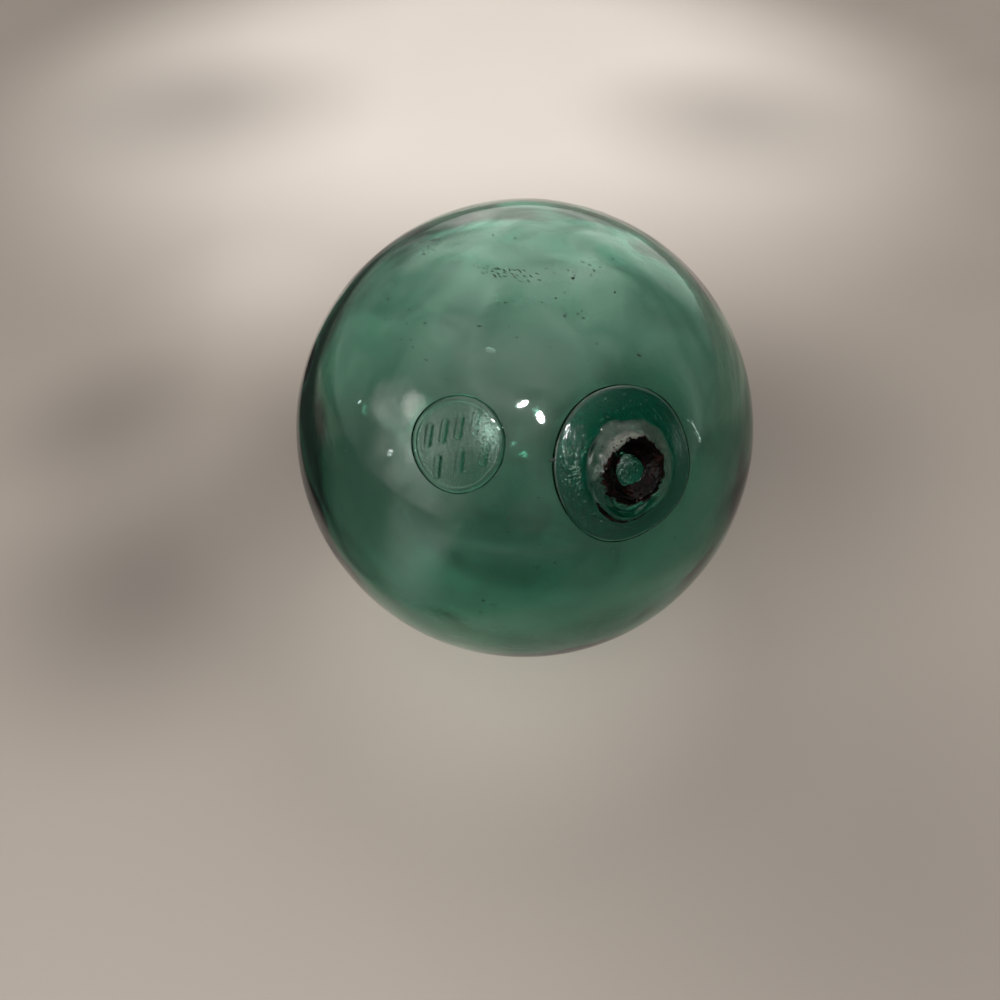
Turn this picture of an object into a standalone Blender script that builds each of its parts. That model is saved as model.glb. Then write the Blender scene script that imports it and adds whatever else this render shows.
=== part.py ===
"""A sealed glass float ball with its two applied gathers of glass.

Metres, +Z up. The origin is the centre of the flat spot that the ball rests on.
The seal button and the mark button look towards -Y and up.
"""

from math import atan2, cos, hypot, pi, radians, sin, sqrt

import bmesh
import bpy
from mathutils import Matrix, Vector

# The blown ball
BALL_RADIUS = 0.0635
REST_RADIUS = 0.0070          # the flat spot underneath, so the ball doesn't roll
BALL_SEGMENTS = 72
BALL_RINGS = 44

# What touches keeps this much apart
JOIN_GAP = 0.0003

# The large gather that closes the blowing hole
SEAL_AZIMUTH = radians(23.5)  # right of -Y
SEAL_ELEVATION = radians(36.2)
SEAL_RADIUS = 0.0165
SEAL_SEAT_DEPTH = 0.0012      # how deep its edge sits in the ball
SEAL_EDGE_STEP = 0.00055      # how far its edge stands out
SEAL_EDGE_ROUND = 0.0007
SEAL_CROWN = 0.0004           # how much the disc rises from its edge to the boss
SEAL_SEGMENTS = 48
# Waves of the hand-pressed outline: how many round it, how high, where the first crest is
SEAL_WAVES = ((2, 0.00040, radians(-172)), (3, 0.00016, radians(-55)),
              (4, 0.00017, radians(-134)), (5, 0.00010, radians(169)))

# The boss on the seal, and the crater where the iron was broken off it
BOSS_RADIUS = 0.0103
BOSS_HEIGHT = 0.0019
BOSS_SHIFT = (0.0008, -0.0009)    # off the seal's centre, to its right and up
CREST_RADIUS = 0.0066
CREST_HEIGHT = 0.0004             # above the boss
CREST_RAGGED = 0.00030
CRATER_DEPTH = 0.0023
EYE_RADIUS = 0.0033               # the clean bead of glass in the crater's floor
EYE_RISE = 0.0007
# The fold of glass lapped round the lower left of the boss
FOLD_BEARING = radians(-112)
FOLD_SPREAD = radians(58)
FOLD_REACH = 0.0016
FOLD_HEIGHT = 0.0007

# The small gather that takes the stamp
MARK_AZIMUTH = radians(-19.1)
MARK_ELEVATION = radians(41.3)
MARK_RADIUS = 0.0101
MARK_SEAT_DEPTH = 0.0010
MARK_EDGE_STEP = 0.00050
MARK_EDGE_ROUND = 0.0006
MARK_RIM_WIDTH = 0.0012
MARK_FIELD_DROP = 0.00030     # how far the stamped field lies below the rim
MARK_SEGMENTS = 40
MARK_WAVES = ((2, 0.00005, radians(144)), (3, 0.00009, radians(150)), (4, 0.00005, radians(0)))

# Rows of plain raised strokes in the stamped field
STROKE_ROWS = ((0.42, 4), (-0.42, 3))     # place up the field, strokes in the row
STROKE_WIDTH = 0.00090
STROKE_RISE = 0.00045
STROKE_SINK = 0.00060
STROKE_FILL = 0.50            # how much of the room between two rows a stroke takes up
STROKE_MARGIN = 0.0009
STROKE_LEAN = radians(-24)
ROWS_TURN = radians(28)

CENTRE_HEIGHT = sqrt(BALL_RADIUS ** 2 - REST_RADIUS ** 2)
CUTTER_OVER = 0.004           # how far a cutter reaches past what it cuts


def smooth(t):
    """0 to 1 with a soft start and end."""
    t = min(max(t, 0.0), 1.0)
    return t * t * (3 - 2 * t)


def ball_height(x, y):
    """Height of the ball's surface above its centre, at a place off the axis."""
    return sqrt(BALL_RADIUS ** 2 - x * x - y * y)


def wave(waves, angle):
    """How far an outline bulges at an angle."""
    return sum(high * cos(count * angle - start) for count, high, start in waves)


def seat_floor(radius, depth):
    """Height above the ball's centre of the flat floor of a seat."""
    return ball_height(radius, 0) - depth


def make_collection(name):
    collection = bpy.data.collections.new(name)
    bpy.context.scene.collection.children.link(collection)
    return collection


def make_material(name, color, roughness):
    """Clear coloured glass."""
    material = bpy.data.materials.new(name)
    material.use_nodes = True
    shader = material.node_tree.nodes["Principled BSDF"]
    shader.inputs["Base Color"].default_value = (*color, 1)
    shader.inputs["Roughness"].default_value = roughness
    shader.inputs["Metallic"].default_value = 0
    shader.inputs["Transmission Weight"].default_value = 1
    shader.inputs["IOR"].default_value = 1.51
    material.diffuse_color = (*color, 1)
    return material


def add_object(name, mesh_tool, collection, material=None):
    """Turns a finished bmesh into an object."""
    bmesh.ops.recalc_face_normals(mesh_tool, faces=mesh_tool.faces)
    mesh = bpy.data.meshes.new(name)
    mesh_tool.to_mesh(mesh)
    mesh_tool.free()
    mesh.shade_smooth()
    mesh.set_sharp_from_angle(angle=radians(40))
    if material:
        mesh.materials.append(material)
    made = bpy.data.objects.new(name, mesh)
    collection.objects.link(made)
    return made


def place_on_ball(item, azimuth, elevation):
    """Turns an object's own +Z to look out of the ball at this azimuth and elevation."""
    item.location = (0, 0, CENTRE_HEIGHT)
    item.rotation_euler = (pi / 2 - elevation, 0, azimuth)


def cut(target, cutter, operation="DIFFERENCE"):
    cutter.hide_render = True
    cutter.display_type = "WIRE"
    boolean = target.modifiers.new(cutter.name, "BOOLEAN")
    boolean.operation = operation
    boolean.solver = "EXACT"
    boolean.object = cutter


def turned_top(profile, segments):
    """An open surface turned round +Z from (distance, height) points, centre first."""
    top = bmesh.new()
    points = [top.verts.new((distance, 0, height)) for distance, height in profile]
    edges = [top.edges.new(pair) for pair in zip(points, points[1:])]
    bmesh.ops.spin(top, geom=points + edges, cent=(0, 0, 0), axis=(0, 0, 1), angle=2 * pi,
                   steps=segments, use_duplicate=False)
    bmesh.ops.remove_doubles(top, verts=top.verts, dist=0.00001)
    return top


def close_below(top, floor):
    """Drops the rim of an open surface to a flat floor and closes it."""
    rim = [edge for edge in top.edges if edge.is_boundary]
    dropped = bmesh.ops.extrude_edge_only(top, edges=rim)["geom"]
    for vert in dropped:
        if isinstance(vert, bmesh.types.BMVert):
            vert.co.z = floor
    bmesh.ops.holes_fill(top, edges=[edge for edge in top.edges if edge.is_boundary], sides=0)


def edge_arc(radius, step, rounding, arc_points=4):
    """The rounded edge of a button, from its top outwards and down to the ball's surface."""
    points = []
    for index in range(arc_points + 1):
        turn = pi / 2 * index / arc_points
        points.append((radius - rounding + rounding * sin(turn), step * cos(turn)))
    return points


def seat_cutter(name, radius, waves, depth, segments, collection):
    """A plug with the button's outline and the gap round it, from the seat's floor outwards."""
    plug = bmesh.new()
    bmesh.ops.create_circle(plug, cap_ends=True, radius=radius, segments=segments)
    floor = seat_floor(radius, depth)
    for vert in plug.verts:
        angle = atan2(vert.co.y, vert.co.x)
        reach = radius + wave(waves, angle) + JOIN_GAP
        vert.co = Vector((reach * cos(angle), reach * sin(angle), floor))
    raised = bmesh.ops.extrude_face_region(plug, geom=plug.faces[:])["geom"]
    for vert in raised:
        if isinstance(vert, bmesh.types.BMVert):
            vert.co.z = BALL_RADIUS + CUTTER_OVER
    return add_object(name, plug, collection)


def make_globe(parts, cutters):
    """The ball, with the flat that it rests on and a seat for each button."""
    bpy.ops.mesh.primitive_uv_sphere_add(segments=BALL_SEGMENTS, ring_count=BALL_RINGS, radius=BALL_RADIUS,
                                         location=(0, 0, CENTRE_HEIGHT))
    globe = bpy.context.active_object
    globe.name = "globe"
    globe.data.shade_smooth()
    globe.data.materials.append(make_material("blown_green_glass", (0.33, 0.56, 0.46), 0.03))
    for owner in list(globe.users_collection):
        owner.objects.unlink(globe)
    parts.objects.link(globe)

    ground = bmesh.new()
    bmesh.ops.create_cube(ground, size=2 * BALL_RADIUS)
    bmesh.ops.translate(ground, verts=ground.verts, vec=(0, 0, -BALL_RADIUS))
    cut(globe, add_object("rest_flat_cutter", ground, cutters))

    seal_seat = seat_cutter("seal_seat_cutter", SEAL_RADIUS, SEAL_WAVES, SEAL_SEAT_DEPTH, SEAL_SEGMENTS,
                            cutters)
    place_on_ball(seal_seat, SEAL_AZIMUTH, SEAL_ELEVATION)
    cut(globe, seal_seat)
    mark_seat = seat_cutter("mark_seat_cutter", MARK_RADIUS, MARK_WAVES, MARK_SEAT_DEPTH, MARK_SEGMENTS,
                            cutters)
    place_on_ball(mark_seat, MARK_AZIMUTH, MARK_ELEVATION)
    cut(globe, mark_seat)


def seal_profile():
    """Half section of the seal's top, from the crater's centre out to its edge."""
    disc_height = SEAL_EDGE_STEP + SEAL_CROWN
    boss_top = disc_height + BOSS_HEIGHT
    crater_floor = boss_top + CREST_HEIGHT - CRATER_DEPTH
    shoulder = (BOSS_RADIUS + CREST_RADIUS) / 2
    points = [(EYE_RADIUS * share, crater_floor + EYE_RISE * (1 - share * share))
              for share in (0, 0.4, 0.75, 1)]
    points += [((EYE_RADIUS + CREST_RADIUS) / 2, crater_floor + CRATER_DEPTH * 0.45),
               (CREST_RADIUS - 0.0006, boss_top + CREST_HEIGHT * 0.6),
               (CREST_RADIUS, boss_top + CREST_HEIGHT),
               (CREST_RADIUS + 0.0006, boss_top + CREST_HEIGHT * 0.7),
               (shoulder, boss_top - BOSS_HEIGHT * 0.12),
               (BOSS_RADIUS - 0.0007, disc_height + BOSS_HEIGHT * 0.50),
               (BOSS_RADIUS, disc_height + BOSS_HEIGHT * 0.08),
               (BOSS_RADIUS + 0.0008, disc_height),
               ((BOSS_RADIUS + SEAL_RADIUS) / 2, (disc_height + SEAL_EDGE_STEP) / 2)]
    return points + edge_arc(SEAL_RADIUS, SEAL_EDGE_STEP, SEAL_EDGE_ROUND)


def shape_seal_point(place):
    """Moves a point of the turned seal to where the hand-made one has it, on the ball."""
    distance = hypot(place.x, place.y)
    angle = atan2(place.y, place.x)
    height = place.z
    # the outline's waves fade towards the middle, and the boss's shift towards the edge
    outward = wave(SEAL_WAVES, angle) * smooth(distance / SEAL_RADIUS)
    inward = 1 - smooth((distance - BOSS_RADIUS) / (SEAL_RADIUS - BOSS_RADIUS))
    # the broken crest is uneven
    on_crest = smooth(1 - abs(distance - CREST_RADIUS) / (CREST_RADIUS - EYE_RADIUS))
    height += CREST_RAGGED * on_crest * (0.6 * sin(3 * angle + 0.6) + 0.4 * sin(7 * angle + 2.0))
    # the fold stands round the foot of the boss on one side
    off_fold = (angle - FOLD_BEARING + pi) % (2 * pi) - pi
    along_fold = smooth(1 - abs(off_fold) / FOLD_SPREAD)
    at_foot = smooth(1 - abs(distance - BOSS_RADIUS) / (2 * FOLD_REACH))
    height += FOLD_HEIGHT * along_fold * at_foot
    outward += FOLD_REACH * 0.6 * along_fold * at_foot
    x = (distance + outward) * cos(angle) + BOSS_SHIFT[0] * inward
    y = (distance + outward) * sin(angle) + BOSS_SHIFT[1] * inward
    return Vector((x, y, ball_height(x, y) + height))


def make_seal_button(parts):
    top = turned_top(seal_profile(), SEAL_SEGMENTS)
    for vert in top.verts:
        vert.co = shape_seal_point(vert.co)
    close_below(top, seat_floor(SEAL_RADIUS, SEAL_SEAT_DEPTH) + JOIN_GAP)
    material = make_material("pressed_seal_glass", (0.10, 0.27, 0.21), 0.08)
    place_on_ball(add_object("seal_button", top, parts, material), SEAL_AZIMUTH, SEAL_ELEVATION)


def mark_profile():
    """Half section of the mark's top: the flat stamped field, the rim and the rounded edge."""
    field_radius = MARK_RADIUS - MARK_RIM_WIDTH
    field = MARK_EDGE_STEP - MARK_FIELD_DROP
    points = [(field_radius * share, field) for share in (0, 0.5, 1)]
    points.append((field_radius + MARK_RIM_WIDTH * 0.3, MARK_EDGE_STEP))
    return points + edge_arc(MARK_RADIUS, MARK_EDGE_STEP, MARK_EDGE_ROUND)


def shape_mark_point(place):
    distance = hypot(place.x, place.y)
    angle = atan2(place.y, place.x)
    distance += wave(MARK_WAVES, angle) * smooth(distance / MARK_RADIUS)
    x = distance * cos(angle)
    y = distance * sin(angle)
    return Vector((x, y, ball_height(x, y) + place.z))


def stroke_places():
    """Where each stroke stands in the field, and its length, row by row."""
    field_radius = MARK_RADIUS - MARK_RIM_WIDTH - STROKE_MARGIN
    row_room = field_radius * 2 / len(STROKE_ROWS)
    length = row_room * STROKE_FILL
    places = []
    for up_share, count in STROKE_ROWS:
        up = up_share * field_radius
        far = abs(up) + length / 2
        half_row = sqrt(field_radius ** 2 - min(far, field_radius) ** 2)
        for index in range(count):
            along = half_row * (2 * index / (count - 1) - 1)
            places.append((along * cos(ROWS_TURN) - up * sin(ROWS_TURN),
                           along * sin(ROWS_TURN) + up * cos(ROWS_TURN), length))
    return places


def make_strokes(cutters):
    """The raised strokes as one mesh of separate bars, in the mark's own frame."""
    bars = bmesh.new()
    field = MARK_EDGE_STEP - MARK_FIELD_DROP
    for x, y, length in stroke_places():
        bar = bmesh.ops.create_cube(bars, size=1)["verts"]
        bmesh.ops.scale(bars, verts=bar, vec=(STROKE_WIDTH, length, STROKE_RISE + STROKE_SINK))
        lean = Matrix.Rotation(ROWS_TURN + STROKE_LEAN, 3, "Z")
        bmesh.ops.rotate(bars, verts=bar, cent=(0, 0, 0), matrix=lean)
        middle = ball_height(x, y) + field + (STROKE_RISE - STROKE_SINK) / 2
        bmesh.ops.translate(bars, verts=bar, vec=(x, y, middle))
    return add_object("mark_strokes", bars, cutters)


def make_mark_button(parts, cutters):
    top = turned_top(mark_profile(), MARK_SEGMENTS)
    for vert in top.verts:
        vert.co = shape_mark_point(vert.co)
    close_below(top, seat_floor(MARK_RADIUS, MARK_SEAT_DEPTH) + JOIN_GAP)
    material = make_material("pressed_mark_glass", (0.24, 0.45, 0.36), 0.08)
    mark = add_object("mark_button", top, parts, material)
    place_on_ball(mark, MARK_AZIMUTH, MARK_ELEVATION)
    strokes = make_strokes(cutters)
    place_on_ball(strokes, MARK_AZIMUTH, MARK_ELEVATION)
    cut(mark, strokes, "UNION")


def main():
    for item in list(bpy.data.objects):
        bpy.data.objects.remove(item)
    parts = make_collection("glass_float_ball")
    cutters = make_collection("cutters")
    make_globe(parts, cutters)
    make_seal_button(parts)
    make_mark_button(parts, cutters)


main()
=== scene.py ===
from math import cos, pi, radians, sin, sqrt

import bmesh
import bpy
import numpy as np
from mathutils import Matrix, Quaternion, Vector, geometry, noise


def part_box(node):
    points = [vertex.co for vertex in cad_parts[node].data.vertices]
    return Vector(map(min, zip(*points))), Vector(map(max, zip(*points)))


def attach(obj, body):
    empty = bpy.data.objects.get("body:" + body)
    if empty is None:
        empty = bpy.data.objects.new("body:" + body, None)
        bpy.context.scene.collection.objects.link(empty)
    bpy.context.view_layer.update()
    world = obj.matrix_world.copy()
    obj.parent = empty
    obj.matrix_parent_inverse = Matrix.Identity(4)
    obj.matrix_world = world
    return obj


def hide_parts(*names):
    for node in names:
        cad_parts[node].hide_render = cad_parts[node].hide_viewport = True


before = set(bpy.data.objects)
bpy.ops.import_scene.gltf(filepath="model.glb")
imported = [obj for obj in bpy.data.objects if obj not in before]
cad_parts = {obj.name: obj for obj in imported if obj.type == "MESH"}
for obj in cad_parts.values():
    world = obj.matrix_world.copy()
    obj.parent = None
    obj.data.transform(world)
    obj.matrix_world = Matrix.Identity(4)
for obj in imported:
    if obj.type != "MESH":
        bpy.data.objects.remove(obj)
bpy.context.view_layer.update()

mm = 0.001
noiseReach = (0.35, 0.65)   # most of a noise node's values lie between these

lowCorner, highCorner = (np.array(corner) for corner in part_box("globe"))
ballRadius = float(highCorner[0] - lowCorner[0]) / 2
ballCentre = Vector((0, 0, highCorner[2] - ballRadius))


def linearColour(hexCode):
    channels = [int(hexCode[i:i + 2], 16) / 255 for i in (1, 3, 5)]
    return (*[c / 12.92 if c <= 0.04045 else ((c + 0.055) / 1.055) ** 2.4 for c in channels], 1.0)


def addNode(tree, kind, values=None, links=None, **settings):
    node = tree.nodes.new(kind)
    for name, value in settings.items():
        setattr(node, name, value)
    for name, value in (values or {}).items():
        node.inputs[name].default_value = value
    for name, source in (links or {}).items():
        tree.links.new(source, node.inputs[name])
    return node


def addMath(tree, operation, *terms):   # a number stays a value, a socket is linked
    values = {index: term for index, term in enumerate(terms) if isinstance(term, (int, float))}
    links = {index: term for index, term in enumerate(terms) if index not in values}
    return addNode(tree, "ShaderNodeMath", values, links, operation=operation).outputs[0]


def addRange(tree, value, start, end, low=0.0, high=1.0, kind="LINEAR"):   # low and high may be sockets too
    given = {"Value": value, "From Min": start, "From Max": end, "To Min": low, "To Max": high}
    values = {name: term for name, term in given.items() if isinstance(term, (int, float))}
    links = {name: term for name, term in given.items() if name not in values}
    return addNode(tree, "ShaderNodeMapRange", values, links, interpolation_type=kind).outputs["Result"]


def addMeasure(tree, operation, place, other):   # a place's distance from another, or its reach along one
    measure = addNode(tree, "ShaderNodeVectorMath", {1: other}, {0: place}, operation=operation)
    return measure.outputs["Value"]


def addScaled(tree, vector, amount):
    links = {0: vector, "Scale": amount}
    return addNode(tree, "ShaderNodeVectorMath", {}, links, operation="SCALE").outputs[0]


def addNoise(tree, size, detail, place=None, **settings):   # size in metres, or a socket that holds it
    values = {"Detail": detail, **settings}
    links = {} if place is None else {"Vector": place}
    if isinstance(size, float):
        values["Scale"] = 1 / size
    else:
        links["Scale"] = addMath(tree, "DIVIDE", 1.0, size)
    return addNode(tree, "ShaderNodeTexNoise", values, links).outputs["Fac"]


def addBlend(tree, share, first, second):   # colours, each a value or a socket
    given = {6: first, 7: second}
    values = {index: term for index, term in given.items() if isinstance(term, tuple)}
    links = {0: share, **{index: term for index, term in given.items() if index not in values}}
    return addNode(tree, "ShaderNodeMix", values, links, data_type="RGBA").outputs[2]


def newObject(name, data):
    made = bpy.data.objects.new(name, data)
    bpy.context.scene.collection.objects.link(made)
    return made


def newMaterial(name, colour="#FFFFFF", roughness=0.5):
    material = bpy.data.materials.new(name)
    material.use_nodes = True
    shader = material.node_tree.nodes["Principled BSDF"]
    shader.inputs["Base Color"].default_value = linearColour(colour)
    shader.inputs["Roughness"].default_value = roughness
    return material, shader


def meshOf(name, shape):   # a finished bmesh as a mesh
    mesh = bpy.data.meshes.new(name)
    shape.to_mesh(mesh)
    shape.free()
    return mesh


def smoothStep(t):
    t = np.clip(t, 0.0, 1.0)
    return t * t * (3 - 2 * t)


def fractalNoise(points, size, octaves=3, offset=(0, 0, 0)):   # -1 to 1, size in metres, offset to vary it
    shift = Vector(offset)
    return np.array([noise.fractal(Vector(p) / size + shift, 1.0, 2.0, octaves) for p in points.tolist()])


def turnTo(azimuth, elevation):   # own Z looks out of the ball, azimuth right of -Y
    return Matrix.Rotation(radians(azimuth), 3, "Z") @ Matrix.Rotation(radians(90 - elevation), 3, "X")


# Camera, as the photograph's: uncropped, looking down on the ball from near by
view = {
    "lens": 27.04,
    "pitch": 50.0,          # of the optical axis below the horizon
    "toTheRight": 6.59 * mm,   # where the ball's centre lies in the camera's own axes
    "above": 19.18 * mm,
    "ahead": 218.1 * mm,
}


def makeCamera():
    pitch = radians(view["pitch"])
    right = Vector((1, 0, 0))
    up = Vector((0, sin(pitch), cos(pitch)))
    back = Vector((0, -cos(pitch), sin(pitch)))
    data = bpy.data.cameras.new("camera")
    data.lens = view["lens"]
    data.sensor_width = 36
    data.clip_start = 0.01
    camera = newObject("camera", data)
    camera.location = ballCentre - view["toTheRight"] * right - view["above"] * up + view["ahead"] * back
    camera.rotation_euler = Matrix((right, up, back)).transposed().to_euler()
    bpy.context.scene.camera = camera


# Floor and light: pale paper, a soft uneven room, and a few small lamps that the glass mirrors
studio = {
    "floorPale": "#D7D1CB", "floorShaded": "#8A837C",   # paper with a painted pool of light, palest behind the ball, and painted shade further off
    "paintedLightCentre": (-0.02, 0.44, 0), "paintedLightFrom": 0.13, "paintedLightTo": 0.38,   # metres
    # painted shadows and pools of light on the paper round the ball: place, reach in metres, change of tone
    "paintedLightAndShade": (
        ((0.00, -0.022, 0), 0.085, 0.85),
        ((-0.08, 0.055, 0), 0.075, -0.36),
        ((0.09, 0.06, 0), 0.115, -0.34),
        ((-0.13, -0.01, 0), 0.080, -0.42),
        ((-0.17, 0.07, 0), 0.060, -0.30),
        ((0.10, -0.11, 0), 0.150, -0.28),
        ((-0.20, 0.38, 0), 0.130, -0.35),
        ((0.14, 0.36, 0), 0.120, -0.32),
        ((-0.13, 0.16, 0), 0.070, 0.18),
    ),
    "floorHalf": 3.0,
    "backdropStrength": 0.55,
    "room": "#F2ECE6",
    "roomStrength": 0.38,
    "unevenSize": 0.45, "unevenFrom": 0.45, "unevenTo": 1.55,   # cloudy variation of the room's light
    # soft brighter and darker places of the room: azimuth, elevation, half width in degrees, strength
    "softPlaces": (
        (178, 82, 70, 0.92),
        (178, 35, 50, 0.8),
        (-52, 17, 32, 1.1),
        (54, 30, 46, -0.90),
        (150, 7, 22, 0.9),
        (-60, 25, 15, 1.9),
        (-86, 22, 10, 1.0),
        (178, 12, 20, 0.6),
        (-71, 33, 8, 4.0),
        (-80, 27, 14, 1.0),
    ),
    # dark card of painted shade and pale card of painted light round the view that only the glass sees: how
    # dense, then directions in degrees round the ball, each with where along it the card begins to show and
    # shows in full, in metres
    "paintedShadeCard": (
        (1.0, -80, 0.112, 0.126, 180, -0.05, -0.01, 100, -0.34, -0.24),
        (0.6, -90, 0.085, 0.110, 180, 0.23, 0.28),
        (0.7, -50, 0.078, 0.095, 0, -0.06, -0.02),
        (0.5, 90, 0.080, 0.160, 0, -0.14, -0.06),
        (0.5, 0, 0.080, 0.160, 59, -0.03, 0.01),
    ),
    "paintedLightCard": (
        (0.45, 30, 0.00, 0.06, -116, 0.00, 0.05),
        (0.15, 0, 0.14, 0.50, 0, 0.14, 0.50),
        (0.12, 180, 0.45, 0.80, 180, 0.40, 0.50),
    ),
    # cloudy shadows on the dark card: how dark, size and where they begin in metres
    "clouds": (0.32, 0.075, 0.020, 0.050),
    "lampDistance": 1.3,
    # small lamps: azimuth, elevation, width, height in metres, turn in degrees, watts
    "lamps": (
        (-3.8, 57.8, 0.095, 0.034, 25, 2.6),
        (9.0, 51.7, 0.034, 0.105, 20, 3.2),
        (-93, 13, 0.005, 0.10, -10, 0.05),
        (-66, 12.5, 0.006, 0.07, 0, 0.06),
        (86, 6, 0.004, 0.30, 0, 0.05),
    ),
    # the soft lamp that only lights the paper, from the front: azimuth, elevation, distance, size, watts
    "paperLamp": (-5, 34, 0.55, 0.40, 3.2),
}


def lookOut(azimuth, elevation):   # azimuth right of -Y, both in degrees
    around, up = radians(azimuth), radians(elevation)
    return Vector((sin(around) * cos(up), -cos(around) * cos(up), sin(up)))


def flatPiece(name, height, colour, roughness):   # a large square that lies flat
    half = studio["floorHalf"]
    corners = ((-half, -half), (half, -half), (half, half), (-half, half))
    mesh = bpy.data.meshes.new(name)
    mesh.from_pydata([(x, y, height) for x, y in corners], [], [(0, 1, 2, 3)])
    material, shader = newMaterial(name, colour, roughness)
    mesh.materials.append(material)
    piece = newObject(name, mesh)
    return piece, shader


def cardCover(tree, place, share, *fades):   # how much a card covers, fading in along each direction
    cover = share
    for azimuth, start, end in zip(fades[0::3], fades[1::3], fades[2::3]):
        along = addMeasure(tree, "DOT_PRODUCT", place, lookOut(azimuth, 0))
        cover = addMath(tree, "MULTIPLY", addRange(tree, along, start, end, kind="SMOOTHSTEP"), cover)
    return cover


def cloudCover(tree, place, share, size, start, end):
    clouds = addNoise(tree, size, 1.5, place, Distortion=0.6)
    dark = addRange(tree, clouds, 0.42, 0.62, 0.0, share, "SMOOTHSTEP")
    away = addMeasure(tree, "DISTANCE", place, (0, 0, 0))
    return addMath(tree, "MULTIPLY", dark, addRange(tree, away, start, end, kind="SMOOTHSTEP"))


def bareShare(tree, covers):   # what the covers together leave bare
    bare = 1.0
    for cover in covers:
        bare = addMath(tree, "MULTIPLY", bare, addMath(tree, "SUBTRACT", 1.0, cover))
    return bare


def makeCard():   # painted shade and light that only the glass sees: neither the camera nor the paper sees it; pale card lies over the dark
    card, shader = flatPiece("glass_card", 2 * mm, "#FFFFFF", 0.9)
    card.visible_camera = False
    card.visible_diffuse = False
    card.visible_shadow = False
    tree = shader.id_data
    place = addNode(tree, "ShaderNodeTexCoord").outputs["Object"]
    # painted shade from the dark card and its cloudy shadows, painted light from the pale card
    dark = [cardCover(tree, place, *part) for part in studio["paintedShadeCard"]]
    dark.append(cloudCover(tree, place, *studio["clouds"]))
    pale = bareShare(tree, [cardCover(tree, place, *part) for part in studio["paintedLightCard"]])
    covered = addMath(tree, "SUBTRACT", 1.0001, addMath(tree, "MULTIPLY", bareShare(tree, dark), pale))
    paleness = addMath(tree, "DIVIDE", addMath(tree, "SUBTRACT", 1.0, pale), covered)
    colour = addBlend(tree, paleness, linearColour("#040404"), (1, 1, 1, 1))
    tree.links.new(covered, shader.inputs["Alpha"])
    tree.links.new(colour, shader.inputs["Base Color"])


def makeBackdrop():   # a plain pale dome behind level views; only the camera sees it, so it lights nothing
    dome = bmesh.new()
    bmesh.ops.create_uvsphere(dome, u_segments=64, v_segments=32, radius=0.95 * studio["floorHalf"])
    mesh = meshOf("backdrop", dome)
    mesh.shade_smooth()
    backdrop = newObject("backdrop", mesh)
    backdrop.visible_diffuse = False
    backdrop.visible_glossy = False
    backdrop.visible_transmission = False
    backdrop.visible_volume_scatter = False
    backdrop.visible_shadow = False
    material, shader = newMaterial("backdrop", "#000000")
    shader.inputs["Specular IOR Level"].default_value = 0
    shader.inputs["Emission Color"].default_value = linearColour(studio["floorPale"])
    shader.inputs["Emission Strength"].default_value = studio["backdropStrength"]
    mesh.materials.append(material)


def makeStudio():
    shader = flatPiece("pale_paper", -0.1 * mm, studio["floorPale"], 0.9)[1]
    tree = shader.id_data
    place = addNode(tree, "ShaderNodeTexCoord").outputs["Object"]
    # painted pool of light round a point behind the ball, painted shade further off
    away = addMeasure(tree, "DISTANCE", place, studio["paintedLightCentre"])
    grade = addRange(tree, away, studio["paintedLightFrom"], studio["paintedLightTo"], kind="SMOOTHSTEP")
    tint = addBlend(tree, grade, linearColour(studio["floorPale"]), linearColour(studio["floorShaded"]))
    # painted shadows and pools of light round the ball
    for centre, reach, change in studio["paintedLightAndShade"]:
        near = addMeasure(tree, "DISTANCE", place, centre)
        tint = addScaled(tree, tint, addRange(tree, near, reach, 0.0, 1.0, 1.0 + change, "SMOOTHSTEP"))
    tree.links.new(tint, shader.inputs["Base Color"])
    makeCard()
    makeBackdrop()

    world = bpy.data.worlds.new("soft_room")
    bpy.context.scene.world = world
    world.use_nodes = True
    tree = world.node_tree
    direction = addNode(tree, "ShaderNodeTexCoord").outputs["Generated"]
    strength = studio["roomStrength"]
    for azimuth, elevation, halfWidth, high in studio["softPlaces"]:
        facing = addMeasure(tree, "DOT_PRODUCT", direction, lookOut(azimuth, elevation))
        soft = addRange(tree, facing, cos(radians(halfWidth)), 1.0, 0.0, high, "SMOOTHERSTEP")
        strength = addMath(tree, "ADD", soft, strength)
    uneven = addNoise(tree, studio["unevenSize"], 3.0, direction, Distortion=1.0)
    uneven = addRange(tree, uneven, *noiseReach, studio["unevenFrom"], studio["unevenTo"])
    strength = addMath(tree, "MULTIPLY", addMath(tree, "MAXIMUM", strength, 0.0), uneven)
    background = tree.nodes["Background"]
    background.inputs["Color"].default_value = linearColour(studio["room"])
    tree.links.new(strength, background.inputs["Strength"])

    for index, (azimuth, elevation, width, height, turn, watts) in enumerate(studio["lamps"]):
        makeLamp(f"small_lamp_{index}", azimuth, elevation, width, height, turn, watts)
    azimuth, elevation, distance, size, watts = studio["paperLamp"]
    lamp = makeLamp("paper_lamp", azimuth, elevation, size, size, 0, watts)
    lamp.location = ballCentre + distance * lookOut(azimuth, elevation)
    lamp.visible_diffuse = True
    lamp.visible_glossy = False
    lamp.visible_transmission = False
    bpy.context.scene.view_settings.view_transform = "Standard"


def makeLamp(name, azimuth, elevation, width, height, turn, watts):
    data = bpy.data.lights.new(name, "AREA")
    data.shape = "ELLIPSE"
    data.size = width
    data.size_y = height
    data.energy = watts
    lamp = newObject(name, data)
    outward = lookOut(azimuth, elevation)
    lamp.location = ballCentre + studio["lampDistance"] * outward
    aim = outward.to_track_quat("Z", "Y") @ Quaternion((0, 0, 1), radians(turn))
    lamp.rotation_euler = aim.to_euler()
    lamp.visible_diffuse = False
    return lamp


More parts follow.
